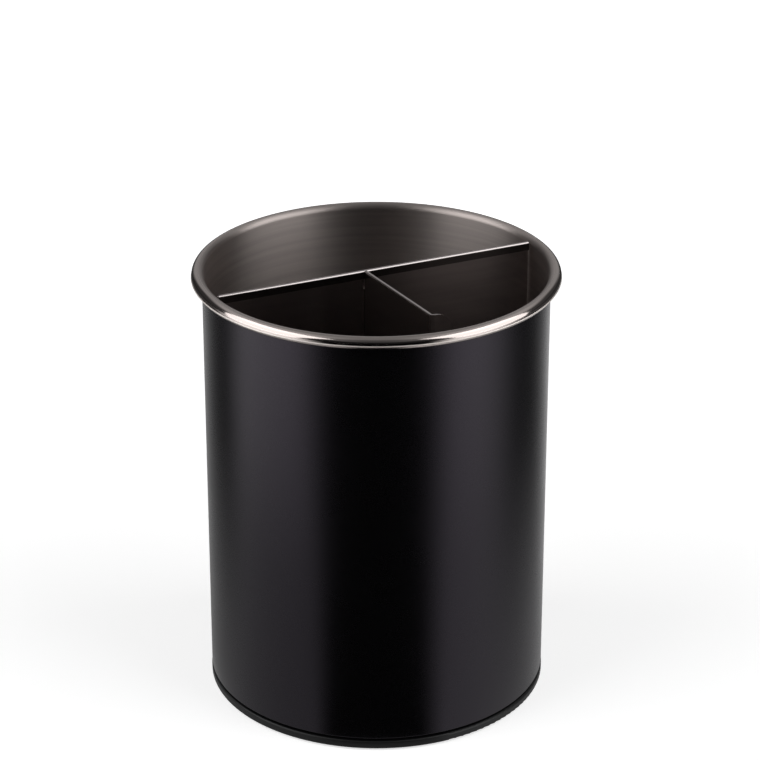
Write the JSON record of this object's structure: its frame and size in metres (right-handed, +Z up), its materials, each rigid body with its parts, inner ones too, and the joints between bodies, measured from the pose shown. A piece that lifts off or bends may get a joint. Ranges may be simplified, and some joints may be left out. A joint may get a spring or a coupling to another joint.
{
  "type": "rotating cutlery holder",
  "caption": "Round black container with a rolled steel rim and a lift-out divider for table cutlery, turning on a flat ball-bearing base.",
  "frame": {"origin": "on the turning axis, in the plane that the rubber feet stand on", "axes": "+Z up along the turning axis, +X along the cross wall of the divider, -Y along its half wall"},
  "size_m": [0.1546, 0.1546, 0.191],
  "materials": {
    "jacket_paint": "satin black paint",
    "pot_steel": "brushed inside, polished on the rim",
    "divider_steel": "bright rolled sheet",
    "base_plastic": "fine moulded texture",
    "foot_rubber": "matt",
    "race_steel": "zinc plated",
    "fastener_steel": "bright",
    "ball_steel": "polished",
    "bearing_plastic": "natural acetal"
  },
  "bodies": {
    "base": {"base_plate": "base_plastic", "rubber_feet": "foot_rubber", "lower_race": "race_steel", "lower_race_screws": "fastener_steel", "pivot_bush": "bearing_plastic"},
    "cage": {"ball_cage": "bearing_plastic", "bearing_balls": "ball_steel"},
    "drum": {"outer_jacket": "jacket_paint", "inner_pot": "pot_steel", "floor_pan": "pot_steel", "upper_race": "race_steel", "upper_race_rivets": "fastener_steel", "pivot_bolt": "fastener_steel", "head_washer": "fastener_steel", "thrust_washer": "fastener_steel", "lock_nut": "fastener_steel"},
    "divider": {"cross_wall": "divider_steel", "half_wall": "divider_steel"}
  },
  "joints": [
    {"name": "drum_spin", "type": "hinge", "parent": "base", "child": "drum", "pos_m": [0, 0, 0.009], "axis": [0, 0, 1], "continuous": true},
    {"name": "cage_spin", "type": "hinge", "parent": "base", "child": "cage", "pos_m": [0, 0, 0.009], "axis": [0, 0, 1], "continuous": true},
    {"name": "divider_lift", "type": "slide", "parent": "drum", "child": "divider", "axis": [0, 0, 1], "range_m": [0, 0.185]}
  ],
  "couplings": [
    {"joint": "cage_spin", "follows": "drum_spin", "ratio": 0.5}
  ]
}
